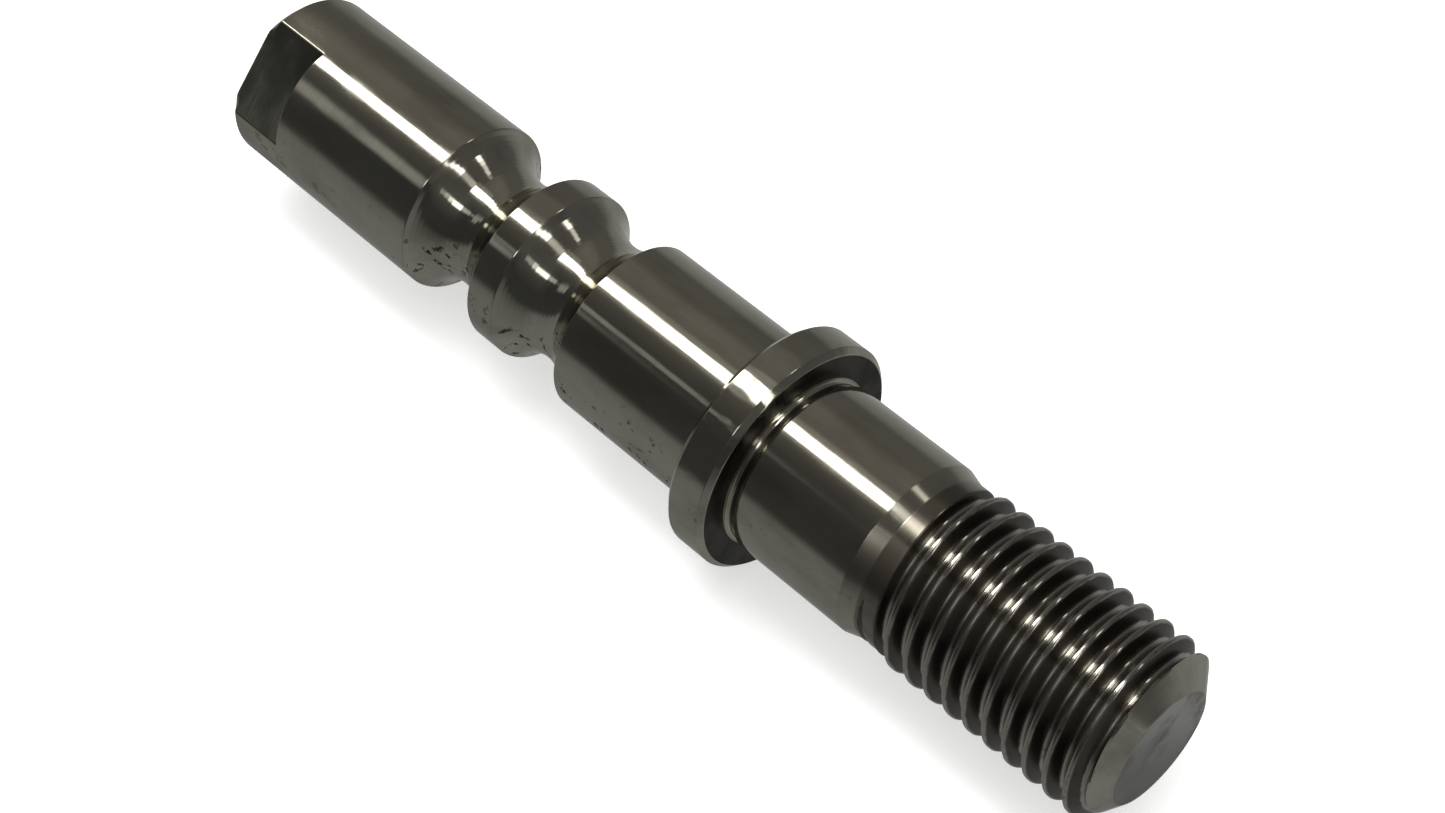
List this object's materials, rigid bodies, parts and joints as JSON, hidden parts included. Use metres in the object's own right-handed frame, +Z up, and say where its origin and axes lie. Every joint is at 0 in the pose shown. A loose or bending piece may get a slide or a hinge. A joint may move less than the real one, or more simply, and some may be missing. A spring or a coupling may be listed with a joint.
{
  "type": "threaded detent stud",
  "caption": "One-piece turned steel stud: threaded end, seat shank, locating collar, twin round-bottomed detent grooves and a head with wrench flats.",
  "frame": {"origin": "on the stud's axis, in the plane of the collar face that seats against the plate the stud is screwed into", "axes": "+X along the axis, out of the threaded end; +Z up with the stud lying on its side, so that one wrench flat faces between +Z and -Y"},
  "size_m": [0.101, 0.0212, 0.0212],
  "materials": {
    "turned_steel": "fine turned and polished, worn, thread slightly browned"
  },
  "bodies": {
    "root": {"detent_stud": "turned_steel"}
  },
  "joints": []
}
